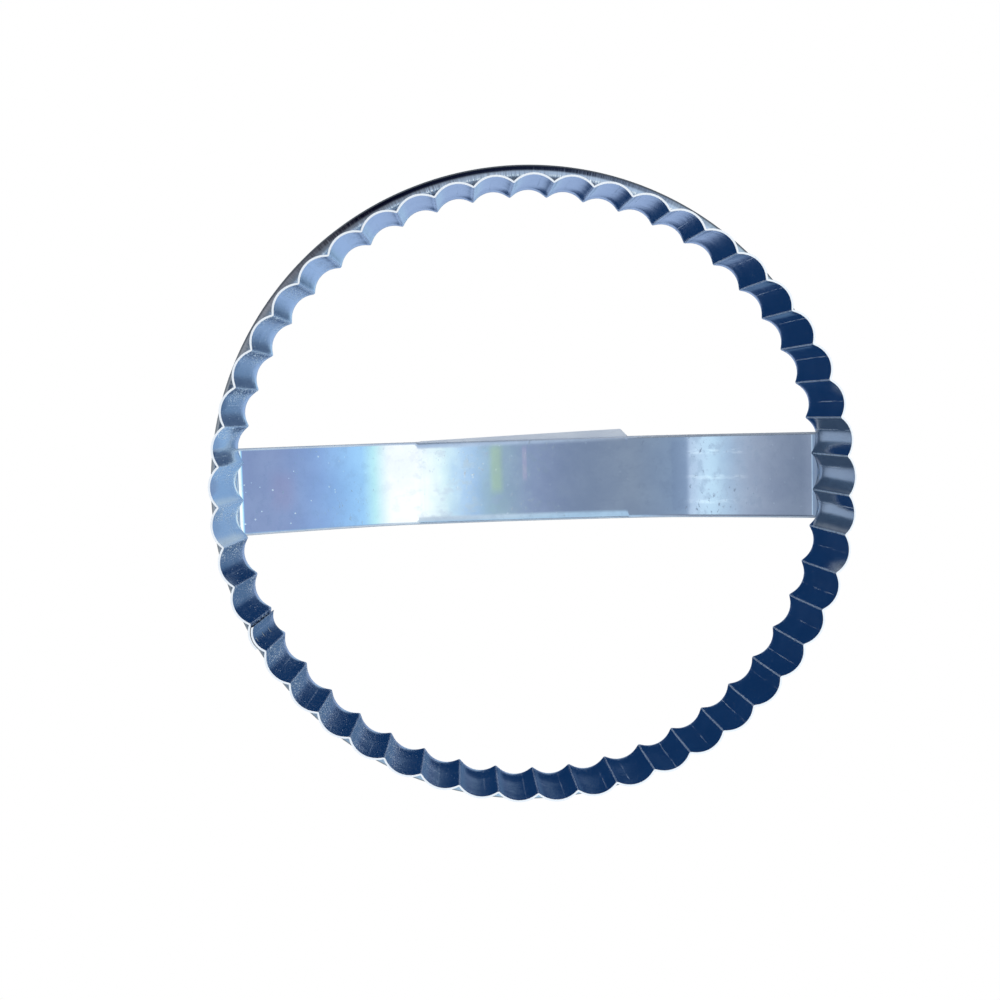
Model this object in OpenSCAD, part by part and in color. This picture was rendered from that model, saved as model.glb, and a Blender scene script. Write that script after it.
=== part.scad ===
// Fluted biscuit cutter of thin bright steel, with an arched strap handle.
// The cutting edge lies on z = 0, the handle is on top and runs along X.

/* [Ring] */
// Diameter over the crests of the flutes
crest_d = 152.4; // [130:0.2:170]
// Height of the ring, from the cutting edge to the top of the rim
ring_h = 25.4; // [20:0.2:36]
// Thickness of the ring's sheet
sheet_t = 0.5; // [0.4:0.05:0.7]

/* [Flutes] */
// Number of flutes, with the lapped one
flute_count = 49; // [44:1:54]
// Depth of a flute, from crest to cusp on the outside
flute_depth = 1.9; // [1.6:0.1:2.4]
// Extra thickness of the metal at the ridge inside a cusp
ridge_extra = 0; // [0:0.01:0.2]

/* [Lap seam] */
// Direction of the lapped flute's middle, counted from the handle
seam_angle = 153.85; // [100:0.05:160]
// Angle that the lapped flute takes up
seam_span = 5.7; // [5.4:0.1:6.4]
// Height of the lapped flute's arch over its two cusps
seam_arch = 1.6; // [1.4:0.05:1.8]
// Gap between the two lapped layers
lap_gap = 0.15; // [0.1:0.01:0.2]
// Angle from the last cusp to the end of the outer layer
outer_end = 1.1; // [0.8:0.1:1.6]
// Angle from the first cusp to the end of the inner layer
inner_end = 0.65; // [0.5:0.05:1]
// Width of the slit where the ends of the rolled rim meet
slit_w = 0.3; // [0.2:0.05:0.5]

/* [Rolled rim] */
// Diameter of the hollow bead that the sheet is rolled into
bead_d = 5.3; // [4.6:0.1:6.4]
// Distance between the crests and the bead
bead_gap = 0.1; // [0:0.05:0.5]
// Angle of the roll that is left open, under the rim's flat top
roll_open = 55; // [40:1:80]
// Bevel on the inner edge, where the wall turns out into the rim
rim_bevel = 0.35; // [0.2:0.05:0.4]

/* [Handle strap] */
// Width of the strap
strap_w = 22.6; // [18:0.2:25]
// Thickness of the strap
strap_t = 0.9; // [0.7:0.05:1.1]
// Height of the strap's underside over the rim, at the middle
handle_rise = 18; // [15:0.5:22]
// Slope of the crowned top at its two ends
crown_angle = 5; // [3:0.1:6]
// Inner radius of the bend between top and ramp
shoulder_r = 58; // [40:1:70]
// Slope of a ramp where it leaves the shoulder
ramp_top_angle = 20.3; // [18:0.1:24]
// Slope of a ramp where it comes down to the foot
ramp_foot_angle = 27; // [25:0.5:30]
// Inner radius of the bend between ramp and foot
foot_bend_r = 3; // [2:0.5:4]
// Distance from the ridges out to the start of the flat foot
foot_start_gap = 1.9; // [0:0.1:2.1]
// Length of foot past the middle of the bead
foot_reach = 1.4; // [0.8:0.1:1.8]
// Corner radius of a foot
foot_corner_r = 2.5; // [1:0.5:4]
// Sideways place of the strap, off the ring's middle
handle_offset = -0.9; // [-2:0.1:2]

/* [Grip flanges] */
// Length of the turned-up flanges at the strap's edges
flange_l = 57.5; // [50:0.5:64]
// Place of the flanges' middle along the strap
flange_x = -0.9; // [-3:0.1:3]
// Height of the flanges
flange_h = 4.6; // [3:0.2:6]
// Length of the mitre at each end of a flange
mitre_l = 1.4; // [1:0.1:6]
// Outward lean of the near flange at its left end
lean_start = 1; // [0:1:10]
// Outward lean of the near flange at its right end
lean_end = 27; // [20:1:30]
// Outward lean of the far flange
lean_far = 4; // [0:1:10]

/* [Spot welds] */
// Diameter of the welds in the lap seam
seam_weld_d = 2.6; // [2:0.2:3]
// Number of welds in the lap seam
seam_weld_count = 3; // [2:1:3]
// Diameter of the welds in the handle's feet
foot_weld_d = 2.4; // [2:0.1:2.6]
// Distance of a foot's two welds from each other
foot_weld_pitch = 11; // [8:0.5:12]
// Depth of the dimple that a weld leaves
weld_dimple = 0.08; // [0.02:0.01:0.12]

/* [Hidden] */
$fn = 96;

eps = 0.02;
crest_r = crest_d / 2;
cusp_r = crest_r - flute_depth;
ridge_r = cusp_r - sheet_t - ridge_extra;
core_r = cusp_r - flute_depth;
bead_r = bead_d / 2;
bead_axis_r = crest_r + bead_gap + bead_r;
bead_axis_z = ring_h - bead_r;

// Regular flutes: all arcs alike, from the lapped flute round to itself
seam_start = seam_angle + seam_span / 2;
seam_stop = seam_angle - seam_span / 2;
pitch = (360 - seam_span) / (flute_count - 1);
flute_mid = [for (i = [0 : flute_count - 2]) seam_start + (i + 0.5) * pitch];
half_chord = cusp_r * sin(pitch / 2);
flute_arch = crest_r - cusp_r * cos(pitch / 2);
flute_r = arc_radius(half_chord, flute_arch);
flute_axis_r = crest_r - flute_r;

// Lapped flute: one axis for both layers, the inner layer steps in at its start
lap_offset = sheet_t + lap_gap;
lap_half_chord = cusp_r * sin(seam_span / 2);
lap_r = arc_radius(lap_half_chord, seam_arch);
lap_step = lap_offset / cos(asin(lap_half_chord / lap_r));
lap_axis = arc_axis(polar(cusp_r, seam_stop), polar(cusp_r - lap_step, seam_start), seam_arch);
lap_inner_r = norm(lap_axis - polar(cusp_r, seam_stop));
outer_stop = seam_stop + outer_end;
inner_start = seam_start - inner_end;
slit_middle = outer_stop - asin(slit_w / 2 / crest_r);

// Strap: foot, bend, bowed ramp, shoulder and crown, worked out on its underside
foot_start = ridge_r + foot_start_gap;
foot_end = bead_axis_r + foot_reach;
foot_under_r = foot_bend_r + strap_t;
crown_tan = tan(crown_angle / 2);
bends_x = shoulder_r * (sin(ramp_top_angle) - sin(crown_angle)) + foot_under_r * sin(ramp_foot_angle);
bends_z = shoulder_r * (cos(crown_angle) - cos(ramp_top_angle)) + foot_under_r * (1 - cos(ramp_foot_angle));
ramp_angle = (ramp_top_angle + ramp_foot_angle) / 2;
ramp_chord = (handle_rise - bends_z - (foot_start - bends_x) * crown_tan)
    / (sin(ramp_angle) - crown_tan * cos(ramp_angle));
ramp_r = ramp_chord / 2 / sin((ramp_foot_angle - ramp_top_angle) / 2);
crown_half = foot_start - bends_x - ramp_chord * cos(ramp_angle);
crown_r = crown_half / sin(crown_angle);
crown_axis_z = ring_h + handle_rise - crown_r;
shoulder_axis = [crown_half - shoulder_r * sin(crown_angle),
    crown_axis_z + (crown_r - shoulder_r) * cos(crown_angle)];
ramp_axis = shoulder_axis - (ramp_r - shoulder_r) * [sin(ramp_top_angle), cos(ramp_top_angle)];
foot_axis = [foot_start, ring_h + foot_under_r];

// Welds
seam_weld_pitch = (ring_h - bead_d) / seam_weld_count;
foot_weld_x = (foot_start + bead_axis_r) / 2;

function polar(r, a) = r * [cos(a), sin(a)];

function arc_radius(half, arch) = (half * half + arch * arch) / (2 * arch);

// Axis of the arc through a and b that bulges away from the ring's axis by arch
function arc_axis(a, b, arch) =
    let (mid = (a + b) / 2, half = norm(b - a) / 2, out = [b[1] - a[1], a[0] - b[0]] / norm(b - a))
    mid + out * (arch - arc_radius(half, arch));

// Height of the strap's underside on its crown and shoulders
function under_z(x) = abs(x) < crown_half
    ? crown_axis_z + sqrt(crown_r * crown_r - x * x)
    : shoulder_axis[1] + sqrt(pow(shoulder_r, 2) - pow(abs(x) - shoulder_axis[0], 2));

// Slice of the plane between two directions
module sector(from_a, to_a, r = 2 * crest_r) {
    polygon([[0, 0], polar(r, from_a), polar(r, (from_a + to_a) / 2), polar(r, to_a)]);
}

module arc_strip(inner_r, t, from_a, to_a) {
    intersection() {
        difference() {
            circle(inner_r + t);
            circle(inner_r);
        }
        sector(from_a, to_a, 2 * (inner_r + t));
    }
}

module flute_discs(inset) {
    for (a = flute_mid) translate(polar(flute_axis_r, a)) circle(flute_r - inset);
}

module lap_ring(outer_off, inner_off) {
    translate(lap_axis) difference() {
        circle(lap_inner_r + outer_off);
        circle(lap_inner_r + inner_off);
    }
}

// Section of the 48 regular flutes, open at the lapped flute
module regular_section() {
    difference() {
        union() {
            circle(core_r);
            flute_discs(0);
        }
        circle(ridge_r);
        flute_discs(sheet_t);
        sector(seam_stop, seam_start);
    }
}

module outer_layer() {
    difference() {
        intersection() {
            lap_ring(lap_offset, lap_gap);
            sector(slit_middle, seam_start + inner_end);
        }
        circle(ridge_r);
        flute_discs(sheet_t);
    }
}

module inner_layer() {
    difference() {
        intersection() {
            lap_ring(0, -sheet_t);
            sector(seam_stop - inner_end, inner_start);
        }
        circle(core_r);
        intersection() {
            circle(ridge_r);
            sector(seam_stop - outer_end, outer_stop);
        }
        flute_discs(sheet_t);
    }
}

module wall_section() {
    regular_section();
    outer_layer();
    inner_layer();
}

// Flat top of the rim, from the wall out to the middle of the bead
module rim_section() {
    difference() {
        circle(bead_axis_r);
        circle(ridge_r);
        flute_discs(sheet_t);
        translate(lap_axis) circle(lap_inner_r - sheet_t);
        intersection() {
            translate(lap_axis) circle(lap_inner_r + lap_gap);
            sector(slit_middle, seam_start);
        }
    }
}

module bead_section() {
    difference() {
        circle(bead_r);
        circle(bead_r - sheet_t);
        polygon([[0, 0], polar(bead_d, 90), polar(bead_d, 90 + roll_open / 2), polar(bead_d, 90 + roll_open)]);
    }
}

// Slit that ends the outer layer and the rolled rim, next to the inner layer
module rim_slit() {
    difference() {
        rotate(outer_stop) translate([cusp_r, -slit_w]) square([bead_axis_r + bead_d - cusp_r, slit_w]);
        translate(lap_axis) circle(lap_inner_r);
    }
}

module seam_weld_pins(d) {
    for (i = [0 : seam_weld_count - 1])
        translate([0, 0, (i + 0.5) * seam_weld_pitch]) rotate([0, 90, seam_angle])
            translate([0, 0, core_r]) cylinder(d = d, h = 2 * flute_depth + bead_gap);
}

module foot_weld_places() {
    for (side = [-1, 1], across = [-1, 1])
        translate([side * foot_weld_x, handle_offset + across * foot_weld_pitch / 2, 0]) children();
}

module fluted_band() {
    color([0.66, 0.74, 0.84]) difference() {
        union() {
            linear_extrude(ring_h) wall_section();
            translate([0, 0, ring_h - sheet_t]) linear_extrude(sheet_t) rim_section();
            rotate_extrude($fn = 180) translate([bead_axis_r, bead_axis_z]) bead_section();
        }
        translate([0, 0, -eps]) linear_extrude(ring_h + 2 * eps) rim_slit();
        seam_weld_pins(seam_weld_d);
        foot_weld_places() translate([0, 0, ring_h - sheet_t - eps]) cylinder(d = foot_weld_d, h = 1);
        for (a = flute_mid) translate([for (v = polar(flute_axis_r, a)) v])
            translate([0, 0, ring_h - rim_bevel])
                cylinder(r1 = flute_r - sheet_t, r2 = flute_r - sheet_t + 2 * rim_bevel, h = 2 * rim_bevel);
    }
}

module seam_spot_welds() {
    color([0.5, 0.55, 0.62]) intersection() {
        seam_weld_pins(seam_weld_d);
        linear_extrude(ring_h) lap_ring(lap_offset - weld_dimple, weld_dimple - sheet_t);
    }
}

// Right half of the strap's side view, drawn in X and Z
module strap_half() {
    translate([0, crown_axis_z]) rotate(90 - crown_angle)
        arc_strip(crown_r, strap_t, -eps, crown_angle + eps, $fn = 2880);
    translate(shoulder_axis) rotate(90 - ramp_top_angle)
        arc_strip(shoulder_r, strap_t, 0, ramp_top_angle - crown_angle, $fn = 720);
    translate(ramp_axis) rotate(90 - ramp_foot_angle)
        arc_strip(ramp_r, strap_t, -eps, ramp_foot_angle - ramp_top_angle + eps, $fn = 1440);
    translate(foot_axis) arc_strip(foot_bend_r, strap_t, 270 - ramp_foot_angle, 270);
    translate([foot_start - eps, ring_h]) square([foot_end - foot_start + eps, strap_t]);
}

// Outline that rounds the corners of the two feet, seen from above
module foot_outline() {
    for (across = [-1, 1], along = [-1, 1])
        translate([along * (foot_end - foot_corner_r), across * (strap_w / 2 - foot_corner_r)])
            circle(foot_corner_r);
    square([2 * foot_end, strap_w - 2 * foot_corner_r], center = true);
    square([2 * (foot_end - foot_corner_r), strap_w], center = true);
}

// Flange turned up at an edge of the strap: a leaning plate that follows its underside
module grip_flange(lean_a, lean_b) {
    steps = 10;
    half = flange_l / 2;
    places = concat([-half], [for (i = [0 : steps]) (i / steps * 2 - 1) * (half - mitre_l)], [half]);
    last = len(places) - 1;
    lean = [for (x = places) lean_a + (lean_b - lean_a) * (x + half) / flange_l];
    tall = [for (i = [0 : last]) i == 0 || i == last ? strap_t : flange_h];
    points = [for (i = [0 : last], k = [0 : 3])
        let (up = [-sin(lean[i]), cos(lean[i])], into = [cos(lean[i]), sin(lean[i])],
            place = (k == 1 || k == 2 ? tall[i] : 0) * up + (k > 1 ? strap_t : 0) * into)
        [flange_x + places[i], place[0] - strap_w / 2, under_z(flange_x + places[i]) + eps + place[1]]];
    sides = [for (i = [0 : last - 1], k = [0 : 3], half_face = [0, 1])
        let (a = 4 * i + k, b = 4 * i + (k + 1) % 4)
        half_face == 0 ? [a, b, b + 4] : [a, b + 4, a + 4]];
    caps = [[0, 2, 1], [0, 3, 2], [4 * last, 4 * last + 1, 4 * last + 2], [4 * last, 4 * last + 2, 4 * last + 3]];
    polyhedron(points, concat(sides, caps));
}

module handle_strap() {
    color([0.62, 0.7, 0.82]) difference() {
        translate([0, handle_offset, 0]) {
            intersection() {
                translate([0, strap_w / 2, 0]) rotate([90, 0, 0]) linear_extrude(strap_w) {
                    strap_half();
                    mirror([1, 0]) strap_half();
                }
                linear_extrude(2 * ring_h + handle_rise) foot_outline();
            }
            grip_flange(lean_start, lean_end);
            mirror([0, 1, 0]) grip_flange(lean_far, lean_far);
        }
        foot_weld_places() translate([0, 0, ring_h - strap_t]) cylinder(d = foot_weld_d, h = 3 * strap_t);
    }
}

module handle_spot_welds() {
    color([0.5, 0.55, 0.62]) foot_weld_places()
        translate([0, 0, ring_h - sheet_t + weld_dimple])
            cylinder(d = foot_weld_d, h = sheet_t + strap_t - 2 * weld_dimple);
}

fluted_band();
seam_spot_welds();
handle_strap();
handle_spot_welds();
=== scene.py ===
import math

import bmesh
import bpy
from mathutils import Matrix, Vector


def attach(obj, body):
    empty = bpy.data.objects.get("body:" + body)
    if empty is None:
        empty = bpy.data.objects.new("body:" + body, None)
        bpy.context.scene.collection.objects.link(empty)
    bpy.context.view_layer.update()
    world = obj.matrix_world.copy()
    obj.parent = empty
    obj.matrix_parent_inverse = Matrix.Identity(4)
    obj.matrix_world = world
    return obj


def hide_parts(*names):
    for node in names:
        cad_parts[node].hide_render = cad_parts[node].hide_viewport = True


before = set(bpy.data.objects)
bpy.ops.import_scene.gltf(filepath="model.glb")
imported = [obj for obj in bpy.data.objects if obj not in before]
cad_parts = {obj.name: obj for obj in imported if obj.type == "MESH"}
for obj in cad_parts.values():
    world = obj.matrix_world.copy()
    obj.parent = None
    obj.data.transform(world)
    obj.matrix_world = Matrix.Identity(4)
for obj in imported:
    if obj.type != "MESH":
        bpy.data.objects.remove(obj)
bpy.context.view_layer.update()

# Sizes of the fluted band, in millimetres and degrees, as in the part's source
CREST_R = 76.2
FLUTE_DEPTH = 1.9
SHEET = 0.5
RING_H = 25.4
FLUTES = 48
SEAM_ANGLE = 153.85
SEAM_SPAN = 5.7
SEAM_ARCH = 1.6
LAP_GAP = 0.15
OUTER_END = 1.1
INNER_END = 0.65
SLIT = 0.3
BEAD_R = 2.65
BEAD_GAP = 0.1
BEAD_AXIS_R = CREST_R + BEAD_GAP + BEAD_R
BEAD_AXIS_Z = RING_H - BEAD_R
ROLL_OPEN = 55
BEND_R = 1.1

# Sizes of the handle strap
STRAP_W = 22.6
STRAP_T = 0.9
HANDLE_RISE = 18.0
CROWN_ANGLE = 5.0
SHOULDER_R = 58.0
RAMP_TOP_ANGLE = 20.3
RAMP_FOOT_ANGLE = 27.0
FOOT_BEND_R = 3.0
FOOT_START_GAP = 1.9
FOOT_REACH = 1.4
FOOT_CORNER_R = 2.5
HANDLE_OFFSET = -0.9
FLANGE_L = 57.5
FLANGE_X = -0.9
FLANGE_H = 4.6
MITRE_L = 1.4
LEAN_START = 1.0
LEAN_END = 27.0
LEAN_FAR = 4.0

# Sizes of the spot welds
SEAM_WELDS = 3
SEAM_WELD_R = 1.3
FOOT_WELD_R = 1.2
FOOT_WELD_PITCH = 11.0

# Small forms of the real sheet that the part's source leaves out; the faces of the cutting edge lie
# below CUT_FACE_H
CUT_BEVEL = 0.05
CUT_FACE_H = 0.12
RIDGE_SOFT = 0.25
STRAP_BEVEL = 0.12
FLANGE_BEND_R = 1.05

# The thin ring has been pressed a little oval at its free edge, and its flutes drift a little from
# even steps
OUT_OF_ROUND = 0.0162
LONG_AXIS = 1.62
OVAL_H = 19.0
DRIFT_MEAN = -0.45
DRIFT = 0.883
DRIFT_WAY = -153.0

# Beside the right foot the free edge's flutes are pressed shallower
DENT = 0.3
DENT_WAY = 0.5
DENT_SPAN = 12.0

CUSP_R = CREST_R - FLUTE_DEPTH
RIDGE_R = CUSP_R - SHEET
FOOT_START = RIDGE_R + FOOT_START_GAP
SEAM_START = SEAM_ANGLE + SEAM_SPAN / 2
SEAM_STOP = SEAM_ANGLE - SEAM_SPAN / 2
PITCH = (360 - SEAM_SPAN) / FLUTES
FOOT_END = BEAD_AXIS_R + FOOT_REACH

# Degrees in a radian, for angles inside node trees
DEGREES = 180 / math.pi

# Points nearer than this, in metres, are one point
TOUCH = 0.000002


def cosd(a):
    return math.cos(math.radians(a))


def sind(a):
    return math.sin(math.radians(a))


def polar(r, a):
    return Vector((r * cosd(a), r * sind(a)))


# Helpers for node trees

def add_node(tree, kind, sockets=None, **settings):
    node = tree.nodes.new(kind)
    for name, value in settings.items():
        setattr(node, name, value)
    for name, value in (sockets or {}).items():
        if isinstance(value, bpy.types.NodeSocket):
            tree.links.new(value, node.inputs[name])
        else:
            node.inputs[name].default_value = value
    return node


class Maths:
    """Short calls for the maths that a node tree needs."""

    def __init__(self, tree):
        self.tree = tree

    def do(self, operation, *values):
        return add_node(self.tree, "ShaderNodeMath", dict(enumerate(values)), operation=operation).outputs[0]

    def add(self, a, b):
        return self.do("ADD", a, b)

    def sub(self, a, b):
        return self.do("SUBTRACT", a, b)

    def mul(self, a, b):
        return self.do("MULTIPLY", a, b)

    def div(self, a, b):
        return self.do("DIVIDE", a, b)

    def total(self, start, *parts):
        """start with each (value, share) pair added to it."""
        for value, share in parts:
            start = self.add(start, self.mul(value, share))
        return start

    def length(self, x, y):
        return self.do("SQRT", self.add(self.mul(x, x), self.mul(y, y)))

    def split(self, vector):
        node = add_node(self.tree, "ShaderNodeSeparateXYZ", {0: vector})
        return node.outputs[0], node.outputs[1], node.outputs[2]

    def join(self, x, y, z):
        return add_node(self.tree, "ShaderNodeCombineXYZ", {0: x, 1: y, 2: z}).outputs[0]

    def scaled(self, vector, factors):
        node = add_node(self.tree, "ShaderNodeVectorMath", {0: vector, 1: factors}, operation="MULTIPLY")
        return node.outputs[0]

    def noise(self, vector, scale, detail=3.0, rough=0.5):
        sockets = {"Vector": vector, "Scale": scale, "Detail": detail, "Roughness": rough}
        return add_node(self.tree, "ShaderNodeTexNoise", sockets).outputs[0]

    def spots(self, vector, radius):
        """1 in a spot round a random point of each unit cell, 0 outside."""
        sockets = {"Vector": vector, "Scale": 1.0, "Randomness": 1.0}
        cells = add_node(self.tree, "ShaderNodeTexVoronoi", sockets)
        return self.sub(1.0, self.band(cells.outputs["Distance"], radius * 0.6, radius))

    def window(self, value, low, high, soft):
        """1 between low and high, fading to 0 over soft on either side."""
        return self.mul(self.band(value, low - soft, low + soft),
                        self.sub(1.0, self.band(value, high - soft, high + soft)))

    def band(self, value, low, high):
        """0 below low, 1 above high, smooth in between."""
        sockets = {"Value": value, "From Min": low, "From Max": high, "To Min": 0.0, "To Max": 1.0}
        node = add_node(self.tree, "ShaderNodeMapRange", sockets, interpolation_type="SMOOTHSTEP")
        return node.outputs[0]

    def mix(self, factor, a, b):
        node = add_node(self.tree, "ShaderNodeMix", data_type="RGBA")
        for index, value in ((0, factor), (6, a), (7, b)):
            if isinstance(value, bpy.types.NodeSocket):
                self.tree.links.new(value, node.inputs[index])
            elif index == 0:
                node.inputs[index].default_value = value
            else:
                node.inputs[index].default_value = (*value, 1.0)
        return node.outputs[2]

    def tinted(self, colour, *tints):
        """colour with each (place, share, tint) laid over it."""
        for place, share, tint in tints:
            colour = self.mix(self.mul(place, share), colour, tint)
        return colour

    def ramp(self, value, stops):
        node = add_node(self.tree, "ShaderNodeValToRGB", {0: value})
        elements = node.color_ramp.elements
        while len(elements) < len(stops):
            elements.new(0.5)
        for element, (place, colour) in zip(elements, stops):
            element.position = place
            element.color = (*colour, 1.0)
        return node.outputs[0]


def new_material(name):
    material = bpy.data.materials.new(name)
    material.use_nodes = True
    tree = material.node_tree
    tree.nodes.clear()
    return material, tree


def finish_steel(tree, colour, roughness, height, metallic=1.0, bump_mm=0.02, anisotropic=0.0):
    bump = add_node(tree, "ShaderNodeBump", {"Height": height, "Strength": 1.0, "Distance": bump_mm / 1000})
    sockets = {"Base Color": colour, "Roughness": roughness, "Metallic": metallic, "Normal": bump.outputs[0]}
    shader = add_node(tree, "ShaderNodeBsdfPrincipled", sockets)
    shader.inputs["Anisotropic"].default_value = anisotropic
    out = add_node(tree, "ShaderNodeOutputMaterial")
    tree.links.new(shader.outputs[0], out.inputs[0])


def position_mm(tree, m):
    coords = add_node(tree, "ShaderNodeTexCoord")
    return m.scaled(coords.outputs["Object"], (1000.0, 1000.0, 1000.0))


# Materials

def band_steel():
    """The pressed sheet; directions are in degrees round the ring, from the right foot."""
    material, tree = new_material("band_steel")
    m = Maths(tree)
    place = position_mm(tree, m)
    x, y, z = m.split(place)
    radius = m.length(x, y)
    mark_r = 76.0
    round_x, round_y = m.mul(m.div(x, radius), mark_r), m.mul(m.div(y, radius), mark_r)
    angle = m.mul(m.do("ARCTAN2", y, x), DEGREES)
    full_angle = m.do("WRAP", angle, 360.0, 0.0)
    drift = m.mul(m.do("COSINE", m.mul(m.sub(angle, DRIFT_WAY), math.pi / 180)), DRIFT)
    oval = m.mul(m.do("MAXIMUM", m.sub(1.0, m.div(z, OVAL_H)), 0.0), math.degrees(OUT_OF_ROUND) / 2)
    oval = m.mul(oval, m.do("SINE", m.mul(m.sub(angle, LONG_AXIS), math.pi / 90)))
    even_angle = m.add(m.sub(angle, m.add(drift, DRIFT_MEAN)), oval)
    turns = m.div(m.do("WRAP", m.sub(even_angle, SEAM_START), 360.0, 0.0), PITCH)
    phase = m.do("FRACT", turns)
    flute = m.do("FLOOR", turns)
    middle = m.do("ABSOLUTE", m.sub(phase, 0.5))
    wall = m.sub(1.0, m.band(radius, CREST_R + 0.1, CREST_R + 0.5))
    bead = m.band(radius, CREST_R + 0.7, CREST_R + 1.4)

    across = m.join(round_x, round_y, m.mul(z, 0.08))
    along = m.join(m.mul(x, 0.06), m.mul(y, 0.06), m.mul(z, 2.5))
    press_streaks = m.noise(across, 1.9, 4.0, 0.6)
    roll_streaks = m.noise(along, 1.0, 4.0, 0.55)
    patches = m.noise(place, 0.11, 4.0, 0.55)

    # Grainy side of the ring, where the lit side of each flute is covered with fine pale specks: partly real
    # grain, partly painted glints
    grain_side = m.window(full_angle, 112.0, 232.0, 16.0)
    grain_patch = m.band(m.noise(place, 0.16, 3.0, 0.6), 0.38, 0.6)
    lit_flute_face = m.add(0.1, m.mul(m.band(phase, 0.45, 0.75), 0.9))
    grain = m.mul(m.mul(wall, lit_flute_face), m.mul(grain_side, m.add(0.25, m.mul(grain_patch, 0.75))))
    fine = m.scaled(m.join(round_x, round_y, m.mul(z, 0.5)), (2.3, 2.3, 2.3))
    few = m.scaled(m.join(round_x, round_y, m.mul(z, 0.7)), (0.8, 0.8, 0.8))
    # The specks' pale colour is partly painted glints, laid densest on the lit face of each flute
    specks = m.mul(grain, m.spots(fine, 0.42))
    lone_specks = m.mul(wall, m.spots(few, 0.12))
    specks = m.do("MAXIMUM", specks, m.mul(lone_specks, m.add(0.2, m.mul(grain_side, 0.4))))

    # Painted highlights: pale lines on the ridges at the cusps and on a line that the press left in each
    # flute, brighter on the right side of the ring
    right_side = m.window(angle, -70.0, 75.0, 15.0)
    ridge_highlight = m.mul(m.band(middle, 0.466, 0.488), m.add(0.45, m.mul(right_side, 0.4)))
    ridge_highlight = m.mul(ridge_highlight, m.add(0.5, m.mul(m.band(roll_streaks, 0.35, 0.6), 0.5)))
    line_place = add_node(tree, "ShaderNodeTexWhiteNoise", {"W": flute}, noise_dimensions="1D").outputs[0]
    line_gap = m.do("ABSOLUTE", m.sub(phase, m.add(0.22, m.mul(line_place, 0.5))))
    press_line_highlight = m.mul(m.sub(1.0, m.band(line_gap, 0.006, 0.02)), m.band(press_streaks, 0.4, 0.6))
    # marks holds the painted highlights on the ridges and press lines, which are also rougher and less
    # metallic
    marks = m.mul(wall, m.do("MAXIMUM", ridge_highlight, m.mul(press_line_highlight, m.add(0.3, m.mul(right_side, 0.3)))))

    # A less metallic side of the ring, whose sky-blue tint is a painted reflection of pale sky
    dull_side_and_painted_sky = m.mul(wall, m.window(full_angle, 176.0, 240.0, 14.0))
    base = m.mix(m.band(patches, 0.38, 0.66), (0.60, 0.66, 0.74), (0.68, 0.73, 0.80))
    base = m.tinted(base, (m.band(press_streaks, 0.5, 0.75), 0.3, (0.50, 0.54, 0.60)),
                    (dull_side_and_painted_sky, 0.8, (0.6, 0.82, 1.0)), (specks, 0.9, (0.78, 0.9, 1.0)),
                    (marks, 1.0, (0.72, 0.86, 1.0)))
    rough = m.total(0.1, (patches, 0.06), (roll_streaks, 0.04), (marks, 0.3), (grain, 0.1),
                    (specks, 0.4), (bead, 0.02))
    metal = m.total(1.0, (dull_side_and_painted_sky, -0.18), (specks, -0.55), (marks, -0.3))

    wrinkles = m.noise(m.join(round_x, round_y, m.mul(z, 0.15)), 0.95, 3.0, 0.62)
    waves = m.noise(place, 0.28, 3.0, 0.5)
    height = m.total(0.0, (press_streaks, 0.25), (roll_streaks, 0.2), (waves, 1.2), (specks, 0.2),
                     (m.mul(wrinkles, bead), 3.0))
    finish_steel(tree, base, rough, height, metallic=metal, bump_mm=0.03)
    return material


def edge_steel_and_glint():
    """The sheared cutting edge, paler and less of a mirror than the sheet: its near-white colour is a painted
    highlight along the edge.
    """
    material, tree = new_material("edge_steel_and_glint")
    m = Maths(tree)
    place = position_mm(tree, m)
    nicks = m.noise(place, 1.6, 3.0, 0.6)
    # Near-white colour: a painted highlight along the cutting edge
    base = m.mix(nicks, (0.93, 0.96, 0.98), (0.98, 0.99, 1.0))
    rough = m.add(0.45, m.mul(nicks, 0.15))
    finish_steel(tree, base, rough, nicks, metallic=0.2, bump_mm=0.01)
    return material


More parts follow.
